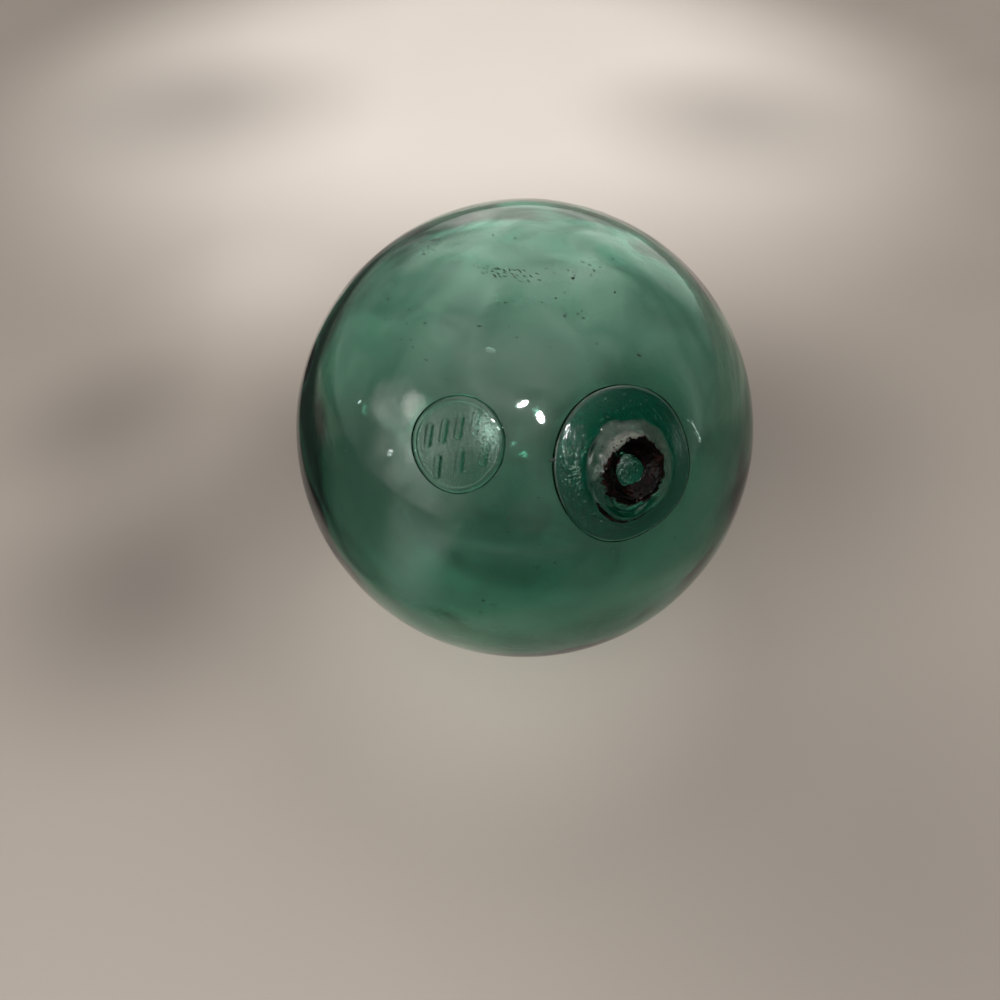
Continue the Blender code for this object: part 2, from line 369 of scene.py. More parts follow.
# The glass wall
wall = {
    "thick": 4.4 * mm,
    "outerSwell": 0.05 * mm, "outerSwellSize": 22 * mm,
    "innerSwell": 0.45 * mm, "innerSwellSize": 24 * mm,
    "outerStep": 2.2 * mm, "innerStep": 2.3 * mm, "firstStep": 0.6 * mm, "clearOfMark": 0.3 * mm,
}

# The seal: directions in degrees, bearings in its own frame
seal = {
    "azimuth": 23.5, "elevation": 36.2,
    "radius": 16.5 * mm, "step": 0.55 * mm, "round": 0.7 * mm, "crown": 0.4 * mm,
    "waves": ((2, 0.40 * mm, -172), (3, 0.16 * mm, -55), (4, 0.17 * mm, -134), (5, 0.10 * mm, 169)),
    "bossRadius": 10.3 * mm, "bossHeight": 1.6 * mm, "bossShift": (0.4 * mm, -0.7 * mm),
    "crestRadius": 6.6 * mm, "crestHeight": 0.50 * mm, "crestWidth": 1.05 * mm,
    "craterLip": 0.1 * mm, "craterDepth": 2.5 * mm, "eyeRadius": 3.2 * mm, "eyeRise": 0.8 * mm,
    "eyeRipple": 0.10 * mm, "eyeRippleSize": 1.25 * mm,
    "footOut": 0.7 * mm, "footWidth": 4.2 * mm, "footWander": 0.8 * mm, "footWanderSize": 4.5 * mm,
    "ragged": 0.32 * mm, "raggedSize": 1.7 * mm, "raggedOut": 0.6 * mm, "raggedReach": 2.4 * mm,
    "foldBearing": -112, "foldSpread": 62, "foldReach": 1.2 * mm, "foldHeight": 1.1 * mm,
    "foldWidth": 2.6 * mm, "foldEdge": 0.28 * mm, "foldRise": 1.4 * mm,
    "creaseOut": 0.1 * mm, "creaseWidth": 0.28 * mm, "creaseDepth": 0.35 * mm,
    # a dark line along the fold's edge, carried in the soot finish
    # painted shade in the crease and the dent
    "creasePaintedShade": 0.85, "foldDarkLine": 0.45 * mm, "foldDarkLineOut": 0.15 * mm, "foldDarkLineDense": 0.95,
    "dentBearing": 139, "dentDistance": 10.4 * mm, "dentLength": 2.9 * mm, "dentWidth": 0.42 * mm,
    "dentDepth": 0.75 * mm, "dentPaintedShade": 0.8,
    "flatFrom": 10.6 * mm, "flatTo": 16.2 * mm,
    "grain": 0.040 * mm, "grainSize": 0.75 * mm, "grainBearing": -170, "grainSpread": 75,
    "grainLeast": 0.35,
    # painted glints: pale flecks on one side of the flat and in the eye
    "paintedGlintBearing": 165, "paintedGlintSpread": 42, "paintedGlintDistance": 13 * mm, "paintedGlintWidth": 2 * mm,
    "paintedGlintSize": 0.8 * mm, "paintedGlintOnFlat": 0.26, "paintedGlintInEye": 0.12,
    "lump": 1.8 * mm, "lumpRadius": 19 * mm, "lumpShoulder": 14 * mm, "fadeOut": 1 * mm,
    "sootCentre": (0.0 * mm, -0.8 * mm), "sootRadius": 7.4 * mm, "sootEdge": 2.4 * mm,
    "sootThinner": 0.35, "thinBearing": 120, "thinSpread": 55,
    "eyeCentre": (0.1 * mm, -1.1 * mm), "eyeEdge": 0.7 * mm, "eyeUneven": 0.5 * mm,
    "crustBearing": 98, "crustSpread": 68, "crustFrom": 5.6 * mm, "crustTo": 9.0 * mm,
    # rings of points: up to where, their step, and points round
    "bands": ((2.5 * mm, 0.25 * mm, 64), (7.5 * mm, 0.17 * mm, 250), (12.0 * mm, 0.18 * mm, 330),
              (15.6 * mm, 0.28 * mm, 330), (17.1 * mm, 0.075 * mm, 300), (20.0 * mm, 0.45 * mm, 220)),
}

# The mark: a pressed field inside a soft rim, with rows of plain strokes
mark = {
    "azimuth": -19.1, "elevation": 41.3,
    "radius": 10.1 * mm, "step": 0.50 * mm, "round": 0.6 * mm,
    "waves": ((2, 0.05 * mm, 144), (3, 0.09 * mm, 150), (4, 0.05 * mm, 0)),
    "crown": 0.85 * mm, "rimWidth": 1.2 * mm, "fieldDrop": 0.35 * mm,
    "fieldEdge": 0.4 * mm, "fieldOut": 0.25 * mm,
    "grain": 0.085 * mm, "grainSize": 0.55 * mm, "grainBearing": 25, "grainSpread": 70, "grainLeast": 0.45,
    # painted glints: pale flecks on the pressed field, most on one side
    "paintedGlintBearing": 38, "paintedGlintSpread": 55, "paintedGlintDistance": 7.4 * mm, "paintedGlintWidth": 2.4 * mm,
    "paintedGlintSize": 0.35 * mm, "paintedGlintElsewhere": 0.03,
    "rows": ((0.42, 4), (-0.42, 3)), "strokeWidth": 1.8 * mm, "strokeRise": 0.60 * mm, "strokeFill": 0.66,
    # painted shade at the strokes' feet, in patches
    "strokeEdge": 0.50 * mm, "strokePaintedShade": 0.20 * mm, "strokePaintedShadePatch": 1.6 * mm,
    "strokeMargin": 0.9 * mm, "strokeLean": -24, "rowsTurn": 28,
    "lump": 0.3 * mm, "lumpRadius": 13 * mm, "lumpShoulder": 9 * mm, "fadeOut": 0.5 * mm,
    "bands": ((2 * mm, 0.16 * mm, 72), (5 * mm, 0.13 * mm, 200), (8.9 * mm, 0.13 * mm, 320),
              (10.6 * mm, 0.075 * mm, 280), (12.6 * mm, 0.4 * mm, 200)),
}

# Where a gather meets the ball: a thin crevice, darkened in patches with painted shade
crevice = {
    "width": 0.3 * mm, "depth": 0.6 * mm,
    "paintedShade": 0.9, "paintedShadeOut": 0.12 * mm, "paintedShadeWidth": 0.24 * mm, "paintedShadePatch": 3.5 * mm,
}

# What the surface carries, one value for each point of the glass, read by its material
finishes = ("sealGlass", "markGlass", "pressed", "soot", "crust", "paintedShade", "paintedGlint")


def ballHeight(x, y):   # of the bare ball over its middle plane
    return np.sqrt(np.maximum(ballRadius ** 2 - x * x - y * y, 0))


def outlineWave(piece, angle):
    return sum(high * np.cos(count * angle - radians(start)) for count, high, start in piece["waves"])


def ringPlaces(bands):   # distances and angles of the points, band after band from the middle
    distances, angles = [0.0], [0.0]
    start = 0.0
    for end, step, count in bands:
        rings = max(1, round((end - start) / step))
        for ring in range(1, rings + 1):
            distances += [start + (end - start) * ring / rings] * count
            angles += [2 * pi * index / count for index in range(count)]
        start = end
    return np.array(distances), np.array(angles)


def zoneEnd(piece):   # where a gather's own points end and the plain ball begins
    return piece["bands"][-1][0]


def edgeAndCrevice(piece, distance):   # the rounded edge, then the thin crevice against the ball
    inside = np.clip((distance - piece["radius"] + piece["round"]) / piece["round"], 0, 1)
    height = piece["step"] * np.sqrt(np.maximum(1 - inside ** 2, 0))
    across = (distance - piece["radius"]) / crevice["width"]
    height -= crevice["depth"] * np.clip(1 - np.abs(2 * across - 1), 0, 1)
    return height


def line(away, width):   # 1 on a line, falling to 0 within about its width
    return np.exp(-(away / width) ** 2)


def outlinePaintedShade(piece, bare, distance):   # painted shade in the crevice round a gather, uneven along it
    patchy = np.clip(0.85 + 0.8 * fractalNoise(bare, crevice["paintedShadePatch"], 2, (8.1, 3.3, 0.6)), 0.35, 1)
    fromEdge = distance - piece["radius"] - crevice["paintedShadeOut"]
    return crevice["paintedShade"] * patchy * line(fromEdge, crevice["paintedShadeWidth"])


def onGather(piece, distance):   # 1 on a gather, 0 past its crevice
    return smoothStep((piece["radius"] + 0.1 * mm - distance) / crevice["width"])


def bearingShare(x, y, bearing, spread):   # 1 at the bearing, 0 from spread degrees off it
    off = (np.degrees(np.arctan2(y, x)) - bearing + 180) % 360 - 180
    return smoothStep(1 - np.abs(off) / spread)


def sealRelief(distance, angle):   # heights and sideways shifts in the seal's own frame
    bare = np.stack([distance * np.cos(angle), distance * np.sin(angle), 0 * distance], 1)
    height = edgeAndCrevice(seal, distance)
    flatWidth = seal["radius"] - seal["bossRadius"]
    height += seal["crown"] * smoothStep((seal["radius"] - distance) / flatWidth)
    wander = seal["footWander"] * fractalNoise(bare, seal["footWanderSize"], 2, (6.2, 2.8, 0.9))
    foot = seal["bossRadius"] + seal["footOut"] - wander
    height += seal["bossHeight"] * smoothStep((foot - distance) / seal["footWidth"])
    height += seal["crestHeight"] * line(distance - seal["crestRadius"], seal["crestWidth"])
    drop = (seal["crestRadius"] - seal["craterLip"] - distance) / (seal["crestRadius"] - seal["eyeRadius"])
    height -= seal["craterDepth"] * smoothStep(drop)
    eyeDome = np.clip(1 - (distance / seal["eyeRadius"]) ** 2, 0, 1)
    ripple = seal["eyeRipple"] * np.cos(2 * pi * distance / seal["eyeRippleSize"])
    height += eyeDome * (seal["eyeRise"] + ripple)
    fromCrest = np.abs(distance - seal["crestRadius"] - seal["raggedOut"])
    onCrest = smoothStep(1 - fromCrest / seal["raggedReach"])
    height += seal["ragged"] * onCrest * fractalNoise(bare, seal["raggedSize"], 4, (3.1, 0.4, 7.7))
    # the fold of glass lapped round one side of the boss's foot: a steep-edged lip with a crease behind
    alongFold = bearingShare(bare[:, 0], bare[:, 1], seal["foldBearing"], seal["foldSpread"])
    edge = seal["bossRadius"] + seal["foldReach"] * alongFold
    lip = smoothStep((edge - distance) / seal["foldEdge"])
    lip *= smoothStep((distance - edge + seal["foldWidth"]) / seal["foldRise"])
    height += seal["foldHeight"] * np.sqrt(alongFold) * lip
    crease = line(distance - edge + seal["foldWidth"] + seal["creaseOut"], seal["creaseWidth"])
    height -= seal["creaseDepth"] * smoothStep(alongFold * 2) * crease
    # the dent that the iron left on the other side
    aside = (angle - radians(seal["dentBearing"]) + pi) % (2 * pi) - pi
    dent = line(aside * distance, seal["dentLength"])
    dent *= line(distance - seal["dentDistance"], seal["dentWidth"])
    height -= seal["dentDepth"] * dent
    # pressed grain on the flat of the disc, strongest on one side
    flat = smoothStep((distance - seal["flatFrom"]) / mm) * smoothStep((seal["flatTo"] - distance) / mm)
    onSide = bearingShare(bare[:, 0], bare[:, 1], seal["grainBearing"], seal["grainSpread"])
    pressed = flat * (seal["grainLeast"] + (1 - seal["grainLeast"]) * onSide)
    height += seal["grain"] * pressed * fractalNoise(bare, seal["grainSize"], 2, (0.4, 9.1, 2.2))

    outward = outlineWave(seal, angle) * smoothStep(distance / seal["radius"])
    inward = 1 - smoothStep((distance - seal["bossRadius"]) / flatWidth)
    fadeFrom = seal["radius"] + seal["fadeOut"]
    fade = 1 - smoothStep((distance - fadeFrom) / (zoneEnd(seal) - fadeFrom))
    x = (distance + outward * fade) * np.cos(angle) + seal["bossShift"][0] * inward
    y = (distance + outward * fade) * np.sin(angle) + seal["bossShift"][1] * inward

    fromSoot = np.hypot(x - seal["sootCentre"][0], y - seal["sootCentre"][1])
    fromEye = np.hypot(x - seal["eyeCentre"][0], y - seal["eyeCentre"][1])
    around = bare / (np.linalg.norm(bare, axis=1)[:, None] + 1e-6)
    fromEye += seal["eyeUneven"] * fractalNoise(around, 0.9, 3, (5.5, 0.2, 1.9))
    soot = np.clip(0.5 + (seal["sootRadius"] - fromSoot) / seal["sootEdge"], 0, 1)
    soot *= np.clip(0.5 + (fromEye - seal["eyeRadius"]) / seal["eyeEdge"], 0, 1)
    soot *= 1 - seal["sootThinner"] * bearingShare(x, y, seal["thinBearing"], seal["thinSpread"])
    # a dark line along the fold's edge, carried in the soot finish, and painted shade in its crease and in
    # the dent
    foldLine = line(distance - edge + seal["foldDarkLineOut"], seal["foldDarkLine"]) * smoothStep(1.8 * alongFold)
    soot = np.maximum(soot, seal["foldDarkLineDense"] * foldLine)
    paintedShade = np.maximum(outlinePaintedShade(seal, bare, distance), seal["dentPaintedShade"] * dent)
    paintedShade = np.maximum(paintedShade, seal["creasePaintedShade"] * crease * smoothStep(1.6 * alongFold))
    band = smoothStep((fromSoot - seal["crustFrom"]) / mm)
    band *= smoothStep((seal["crustTo"] - fromSoot) / (1.5 * mm))
    crust = band * bearingShare(x, y, seal["crustBearing"], seal["crustSpread"])
    inEye = smoothStep((seal["eyeRadius"] + 0.4 * mm - fromEye) / mm)
    # painted glints, as pale flecks on the flat and in the eye
    speckled = np.clip(0.5 + 1.6 * fractalNoise(bare, seal["paintedGlintSize"], 2, (1.1, 6.6, 3.7)), 0, 1)
    onSide = flat * line(distance - seal["paintedGlintDistance"], seal["paintedGlintWidth"])
    onSide *= bearingShare(bare[:, 0], bare[:, 1], seal["paintedGlintBearing"], seal["paintedGlintSpread"])
    paintedGlint = speckled * np.maximum(seal["paintedGlintOnFlat"] * onSide, seal["paintedGlintInEye"] * inEye) + 0.02 * flat
    pressed = np.maximum(0.4 * pressed, 0.5 * inEye)
    surface = {
        "sealGlass": onGather(seal, distance),
        "pressed": pressed,
        "soot": soot,
        "crust": crust,
        "paintedShade": paintedShade,
        "paintedGlint": paintedGlint,
    }
    return x, y, height, surface


def strokeEnds():   # both ends of each plain stroke, row by row, in the mark's own frame
    field = mark["radius"] - mark["rimWidth"] - mark["strokeMargin"]
    length = field * 2 / len(mark["rows"]) * mark["strokeFill"]
    turn, lean = radians(mark["rowsTurn"]), radians(mark["rowsTurn"] + mark["strokeLean"])
    ends = []
    for upShare, count in mark["rows"]:
        up = upShare * field
        halfRow = sqrt(field ** 2 - min(abs(up) + length / 2, field) ** 2)
        for index in range(count):
            along = halfRow * (2 * index / (count - 1) - 1)
            middle = np.array((along * cos(turn) - up * sin(turn), along * sin(turn) + up * cos(turn)))
            reach = np.array((-sin(lean), cos(lean))) * (length - mark["strokeWidth"]) / 2
            ends.append((middle - reach, middle + reach))
    return ends


def markRelief(distance, angle):
    x, y = distance * np.cos(angle), distance * np.sin(angle)
    bare = np.stack([x, y, 0 * x], 1)
    height = edgeAndCrevice(mark, distance)
    inner = mark["radius"] - mark["rimWidth"]
    field = smoothStep((inner + mark["fieldOut"] - distance) / mark["fieldEdge"])
    height += mark["crown"] * np.clip(1 - (distance / mark["radius"]) ** 2, 0, 1)
    height -= mark["fieldDrop"] * field
    onSide = bearingShare(x, y, mark["grainBearing"], mark["grainSpread"])
    pressed = field * (mark["grainLeast"] + (1 - mark["grainLeast"]) * onSide)
    height += mark["grain"] * pressed * fractalNoise(bare, mark["grainSize"], 3, (1.7, 5.2, 0.3))
    paintedShade = outlinePaintedShade(mark, bare, distance)
    for start, end in strokeEnds():
        run = end - start
        share = np.clip(((x - start[0]) * run[0] + (y - start[1]) * run[1]) / (run @ run), 0, 1)
        away = np.hypot(x - start[0] - share * run[0], y - start[1] - share * run[1])
        height += mark["strokeRise"] * smoothStep((mark["strokeWidth"] / 2 - away) / mark["strokeEdge"])
        # painted shade at the foot of each stroke
        foot = line(away - mark["strokeWidth"] / 2, mark["strokePaintedShade"])
        patchy = 0.45 + 0.35 * fractalNoise(bare, mark["strokePaintedShadePatch"], 2, (2.2, 7.1, 4.4))
        paintedShade = np.maximum(paintedShade, foot * patchy)
    # painted glints, as pale flecks on the field
    speckled = np.clip(0.7 + 0.9 * fractalNoise(bare, mark["paintedGlintSize"], 2, (7.3, 0.5, 5.1)), 0, 1)
    brightSide = bearingShare(x, y, mark["paintedGlintBearing"], mark["paintedGlintSpread"])
    brightSide *= line(distance - mark["paintedGlintDistance"], mark["paintedGlintWidth"])
    paintedGlint = speckled * (mark["paintedGlintElsewhere"] + (1 - mark["paintedGlintElsewhere"]) * brightSide)
    paintedGlint *= distance < mark["radius"] - 0.3 * mm
    fadeFrom = mark["radius"] + mark["fadeOut"]
    fade = 1 - smoothStep((distance - fadeFrom) / (zoneEnd(mark) - fadeFrom))
    surface = {
        "markGlass": onGather(mark, distance),
        "pressed": pressed,
        "paintedShade": paintedShade,
        "paintedGlint": paintedGlint,
    }
    distance = distance + outlineWave(mark, angle) * smoothStep(distance / mark["radius"]) * fade
    return distance * np.cos(angle), distance * np.sin(angle), height, surface


def farPlaces(startDistance, firstStep, step):   # directions in rings from one zone's edge to the far pole
    rows = []
    away = np.arcsin(startDistance / ballRadius)
    gap = firstStep / ballRadius
    while away + gap < pi - 0.6 * step / ballRadius:
        away += gap
        count = max(8, round(2 * pi * sin(away) * ballRadius / gap / ballRadius))
        turn = np.arange(count) * 2 * pi / count + 0.5 * (len(rows) % 2) * 2 * pi / count
        across = (sin(away) * np.cos(turn), sin(away) * np.sin(turn))
        rows.append(np.stack([*across, np.full(count, cos(away))], 1))
        gap = min(gap * 1.25, step / ballRadius)
    return np.concatenate(rows)


def triangulate(directions):   # unit directions in the seal's frame, flattened from the far pole
    flat = directions[:, :2] / (1 + directions[:, 2:3])
    result = geometry.delaunay_2d_cdt([Vector(p) for p in flat.tolist()], [], [], 0, 1e-9)
    origin = [found[0] for found in result[3]]
    faces = [tuple(origin[corner] for corner in face) for face in result[2]]
    # the last ring's points are closed with a fan at the far pole
    pole = len(directions)
    edges = {(a, b) for face in faces for a, b in zip(face, face[1:] + face[:1])}
    rim = sorted((a, b) for a, b in edges if (b, a) not in edges)
    return faces + [(b, a, pole) for a, b in rim]


sealTurn = np.array(turnTo(seal["azimuth"], seal["elevation"]))
markTurn = np.array(turnTo(mark["azimuth"], mark["elevation"]))


def zonePoints(piece, relief, turn):   # a gather's points, their places on the bare ball and their finishes
    x, y, height, surface = relief(*ringPlaces(piece["bands"]))
    points = np.stack([x, y, ballHeight(x, y) + height], 1) @ turn.T
    base = np.stack([x, y, ballHeight(x, y)], 1) @ turn.T
    return points, base / ballRadius, surface


def outerPoints():
    zones = [zonePoints(seal, sealRelief, sealTurn), zonePoints(mark, markRelief, markTurn)]
    # the plain ball between and behind them, up to the pole opposite the seal
    far = farPlaces(zoneEnd(seal), wall["firstStep"], wall["outerStep"]) @ sealTurn.T
    offMark = np.linalg.norm(np.cross(far, markTurn[:, 2]), axis=1)
    clear = zoneEnd(mark) + wall["clearOfMark"]
    far = far[(offMark > clear / ballRadius) | (far @ markTurn[:, 2] < 0)]
    far = np.concatenate([far, -sealTurn[:, 2:3].T])
    zones.append((far * ballRadius, far, {}))
    points = np.concatenate([zone[0] for zone in zones])
    base = np.concatenate([zone[1] for zone in zones])
    surface = {name: np.concatenate([zone[2].get(name, np.zeros(len(zone[0]))) for zone in zones])
               for name in finishes}
    swell = wall["outerSwell"] * fractalNoise(base, wall["outerSwellSize"] / ballRadius, 2)
    return points + base * swell[:, None], base, surface


def flattenBelow(points):   # the small flat that the ball rests on
    low = -ballCentre.z
    under = points[:, 2] < low
    points[under] *= (low / points[under, 2])[:, None]
    return points


def innerPoints():
    near = farPlaces(0.0001 * mm, wall["innerStep"] * 0.5, wall["innerStep"]) @ sealTurn.T
    base = np.concatenate([near, -sealTurn[:, 2:3].T])
    swell = fractalNoise(base, wall["innerSwellSize"] / ballRadius, 2, (4.2, 1.1, 8.8))
    thick = wall["thick"] + wall["innerSwell"] * swell
    for piece, turn in ((seal, sealTurn), (mark, markTurn)):
        away = np.arccos(np.clip(base @ turn[:, 2], -1, 1)) * ballRadius
        thick += piece["lump"] * smoothStep((piece["lumpRadius"] - away) / piece["lumpShoulder"])
    return base * (ballRadius - thick)[:, None], base


# Seeds: the small bubbles that a quick melt leaves in the wall, and a few larger ones
seeds = {
    "perArea": 16000,          # a square metre of wall, in patches
    "patch": 30 * mm, "patchChange": (0.3, 1.7),
    "size": (0.05 * mm, 0.24 * mm),   # half width
    "stretch": 1.5,
    "depth": (0.8 * mm, 3.6 * mm),   # from the inner surface
    "segments": 8, "rings": 5,
    "seed": 11,
    # larger bubbles: azimuth, elevation, half length, half width, half thickness, turn in degrees, depth
    "large": (
        (-16.0, 60.3, 1.30 * mm, 0.72 * mm, 0.13 * mm, -8, 1.2 * mm),
        (-9.6, 6.8, 0.45 * mm, 0.30 * mm, 0.25 * mm, 10, 1.5 * mm),
        (-7.7, 5.5, 0.35 * mm, 0.25 * mm, 0.20 * mm, 40, 2.0 * mm),
    ),
}


def makeTree(name, numbers):   # an empty tree with a geometry input and output and named number inputs
    tree = bpy.data.node_groups.new(name, "GeometryNodeTree")
    tree.interface.new_socket("Geometry", in_out="INPUT", socket_type="NodeSocketGeometry")
    tree.interface.new_socket("Geometry", in_out="OUTPUT", socket_type="NodeSocketGeometry")
    for label, value in numbers.items():
        socket = tree.interface.new_socket(label, in_out="INPUT", socket_type="NodeSocketFloat")
        socket.default_value = value
    return tree, addNode(tree, "NodeGroupInput"), addNode(tree, "NodeGroupOutput")


def endTree(tree, out, geometry, material):
    real = addNode(tree, "GeometryNodeRealizeInstances", {}, {0: geometry}).outputs[0]
    finish = addNode(tree, "GeometryNodeSetMaterial", {"Material": material}, {"Geometry": real})
    tree.links.new(finish.outputs[0], out.inputs[0])


def addSpread(tree, given, density, seed):   # random points on the faces, each with its turn
    return addNode(tree, "GeometryNodeDistributePointsOnFaces", {"Seed": seed},
                   {"Mesh": given.outputs["Geometry"], "Density": density})


def addRandom(tree, low, high, seed):   # low and high are both sockets, or both numbers
    values, links = {"Seed": seed}, {}
    (values if isinstance(low, (int, float)) else links).update({2: low, 3: high})
    return addNode(tree, "FunctionNodeRandomValue", values, links, data_type="FLOAT").outputs[1]


def addCopies(tree, points, shape, turns, sizes):   # a copy of the shape at each point; sizes along X, Y, Z
    scale = addNode(tree, "ShaderNodeCombineXYZ", {}, dict(zip("XYZ", sizes))).outputs[0]
    return addNode(tree, "GeometryNodeInstanceOnPoints", {},
                   {"Points": points, "Instance": shape, "Rotation": turns, "Scale": scale}).outputs[0]


def addField(tree, name, kind="FLOAT"):
    return addNode(tree, "GeometryNodeInputNamedAttribute", {"Name": name}, data_type=kind).outputs[0]


def runTree(name, mesh, tree, numbers):   # the tree's result on a mesh, as a plain mesh
    carrier = newObject(name, mesh)
    modifier = carrier.modifiers.new(name, "NODES")
    modifier.node_group = tree
    for item in tree.interface.items_tree:
        if item.in_out == "INPUT" and item.name in numbers:
            modifier[item.identifier] = numbers[item.name]
    result = bpy.data.meshes.new_from_object(carrier.evaluated_get(bpy.context.evaluated_depsgraph_get()))
    bpy.data.objects.remove(carrier)
    return result


def bubbleTree(material):
    tree, given, out = makeTree("seeds_in_the_wall", {
        "Per area": 1.0, "Smallest": 0.001, "Largest": 0.002, "Stretch": 1.0, "Depth from": 0.001,
        "Depth to": 0.003})
    patchy = addRange(tree, addNoise(tree, seeds["patch"], 1.0), *noiseReach, *seeds["patchChange"])
    density = addMath(tree, "MULTIPLY", patchy, given.outputs["Per area"])
    spread = addSpread(tree, given, density, seeds["seed"])
    depth = addRandom(tree, given.outputs["Depth from"], given.outputs["Depth to"], seeds["seed"] + 1)
    moved = addNode(tree, "GeometryNodeSetPosition", {},
                    {"Geometry": spread.outputs["Points"],
                     "Offset": addScaled(tree, spread.outputs["Normal"], depth)}).outputs[0]
    ball = addNode(tree, "GeometryNodeMeshUVSphere",
                   {"Segments": seeds["segments"], "Rings": seeds["rings"], "Radius": 1.0}).outputs["Mesh"]
    ball = addNode(tree, "GeometryNodeFlipFaces", {}, {0: ball}).outputs[0]
    # many small ones, few large: the random share is cubed
    cubed = addMath(tree, "POWER", addRandom(tree, 0.0, 1.0, seeds["seed"] + 2), 3.0)
    size = addRange(tree, cubed, 0.0, 1.0, given.outputs["Smallest"], given.outputs["Largest"])
    longer = addMath(tree, "MULTIPLY", size, given.outputs["Stretch"])
    placed = addCopies(tree, moved, ball, spread.outputs["Rotation"], (longer, size, size))
    endTree(tree, out, placed, material)
    return tree


def roundLump(shape, azimuth, elevation, halves, turn, depth, inward):   # an ellipsoid in the ball's wall
    facing = turnTo(azimuth, elevation).to_4x4()
    facing.translation = ballCentre + (ballRadius - depth) * lookOut(azimuth, elevation)
    sized = Matrix.Diagonal((*halves, 1))
    made = bmesh.ops.create_uvsphere(shape, u_segments=20, v_segments=12, radius=1,
                                     matrix=facing @ Matrix.Rotation(radians(turn), 4, "Z") @ sized)
    if inward:
        faces = {face for vert in made["verts"] for face in vert.link_faces}
        bmesh.ops.reverse_faces(shape, faces=list(faces))


def meshFrom(name, points, faces, surface=None):
    mesh = bpy.data.meshes.new(name)
    mesh.from_pydata([tuple(p) for p in points.tolist()], [], faces)
    mesh.shade_smooth()
    for label, values in (surface or {}).items():
        attribute = mesh.attributes.new(label, "FLOAT", "POINT")
        attribute.data.foreach_set("value", np.asarray(values, dtype=np.float32))
    return mesh


def makeGlass():
    points, base, surface = outerPoints()
    faces = triangulate(base[:-1] @ sealTurn)
    points = flattenBelow(points) + np.array(ballCentre)
    outer = meshFrom("outer_skin", points, faces, surface)
    material = seaGlass()

    innerAt, innerBase = innerPoints()
    innerFaces = [face[::-1] for face in triangulate(innerBase[:-1] @ sealTurn)]
    inner = meshFrom("inner_skin", innerAt + np.array(ballCentre), innerFaces)
    bubbles = runTree("seeds", inner, bubbleTree(material), {
        "Per area": seeds["perArea"], "Smallest": seeds["size"][0], "Largest": seeds["size"][1],
        "Stretch": seeds["stretch"], "Depth from": -seeds["depth"][0], "Depth to": -seeds["depth"][1]})

    largeOnes = bmesh.new()
    for azimuth, elevation, long, wide, thick, turn, depth in seeds["large"]:
        roundLump(largeOnes, azimuth, elevation, (long, wide, thick), turn, depth, inward=True)
    joined = bmesh.new()
    for mesh in (outer, inner, bubbles, meshOf("large_bubbles", largeOnes)):
        mesh.materials.clear()
        joined.from_mesh(mesh)
    mesh = meshOf("float_glass", joined)
    mesh.materials.append(material)
    mesh.shade_smooth()
    glass = newObject("float_glass", mesh)
    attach(glass, "root")
    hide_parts("globe", "seal_button", "mark_button")
    print("glass:", len(mesh.polygons), "faces,", len(bubbles.polygons), "of them seeds")
    return outer


# Soot and grit that burnt onto the crater when the iron was cracked off
residue = {
    "tornSize": 1.5 * mm, "tornDepth": 1.7, "crustBegins": 0.61, "stainBegins": 0.42, "stainFull": 0.62,
    "crustSink": 0.03 * mm, "crustThick": (0.05 * mm, 0.20 * mm), "crustLumps": 0.7 * mm,
    "sootPerArea": 1.6e6, "sootSize": (0.05 * mm, 0.18 * mm),
    "gritPerArea": 3.2e8, "gritSize": (0.018 * mm, 0.052 * mm),
    # pale flecks of painted glint
    "paintedGlintPerArea": 9.5e7, "paintedGlintSize": (0.022 * mm, 0.062 * mm),
    "flatter": 0.55, "longer": 1.4,   # a grain's height and length as shares of its width
    "crowding": 1.5,   # how much more the grains gather where the finish is strong
}


def sootTree(material):   # a thin torn crust over the sooty faces, closed underneath
    tree, given, out = makeTree("soot_crust", {"Torn size": 0.001, "Sink": 0.0001, "Thinnest": 0.0001,
                                               "Thickest": 0.0002, "Lump size": 0.001})
    torn = addNoise(tree, given.outputs["Torn size"], 4.0, Roughness=0.65)
    ragged = addMath(tree, "MULTIPLY_ADD", torn, residue["tornDepth"], addField(tree, "soot"))
    least = residue["crustBegins"] + residue["tornDepth"] / 2
    sooty = addNode(tree, "FunctionNodeCompare", {"B": least}, {"A": ragged}, data_type="FLOAT",
                    operation="GREATER_THAN").outputs[0]
    cut = addNode(tree, "GeometryNodeSeparateGeometry", {},
                  {"Geometry": given.outputs["Geometry"], "Selection": sooty}, domain="FACE").outputs[0]
    normal = addNode(tree, "GeometryNodeInputNormal").outputs[0]
    inward = addScaled(tree, normal, addMath(tree, "MULTIPLY", given.outputs["Sink"], -1.0))
    base = addNode(tree, "GeometryNodeSetPosition", {}, {"Geometry": cut, "Offset": inward}).outputs[0]
    lumps = addNoise(tree, given.outputs["Lump size"], 2.0)
    thick = addRange(tree, lumps, 0.35, 0.68, given.outputs["Thinnest"], given.outputs["Thickest"])
    raised = addNode(tree, "GeometryNodeExtrudeMesh", {"Individual": False},
                     {"Mesh": base, "Offset Scale": thick}, mode="FACES").outputs[0]
    under = addNode(tree, "GeometryNodeFlipFaces", {}, {0: base}).outputs[0]
    both = addNode(tree, "GeometryNodeJoinGeometry")
    tree.links.new(raised, both.inputs[0])
    tree.links.new(under, both.inputs[0])
    closed = addNode(tree, "GeometryNodeMergeByDistance", {"Distance": 1e-7}, {0: both.outputs[0]})
    endTree(tree, out, closed.outputs[0], material)
    return tree


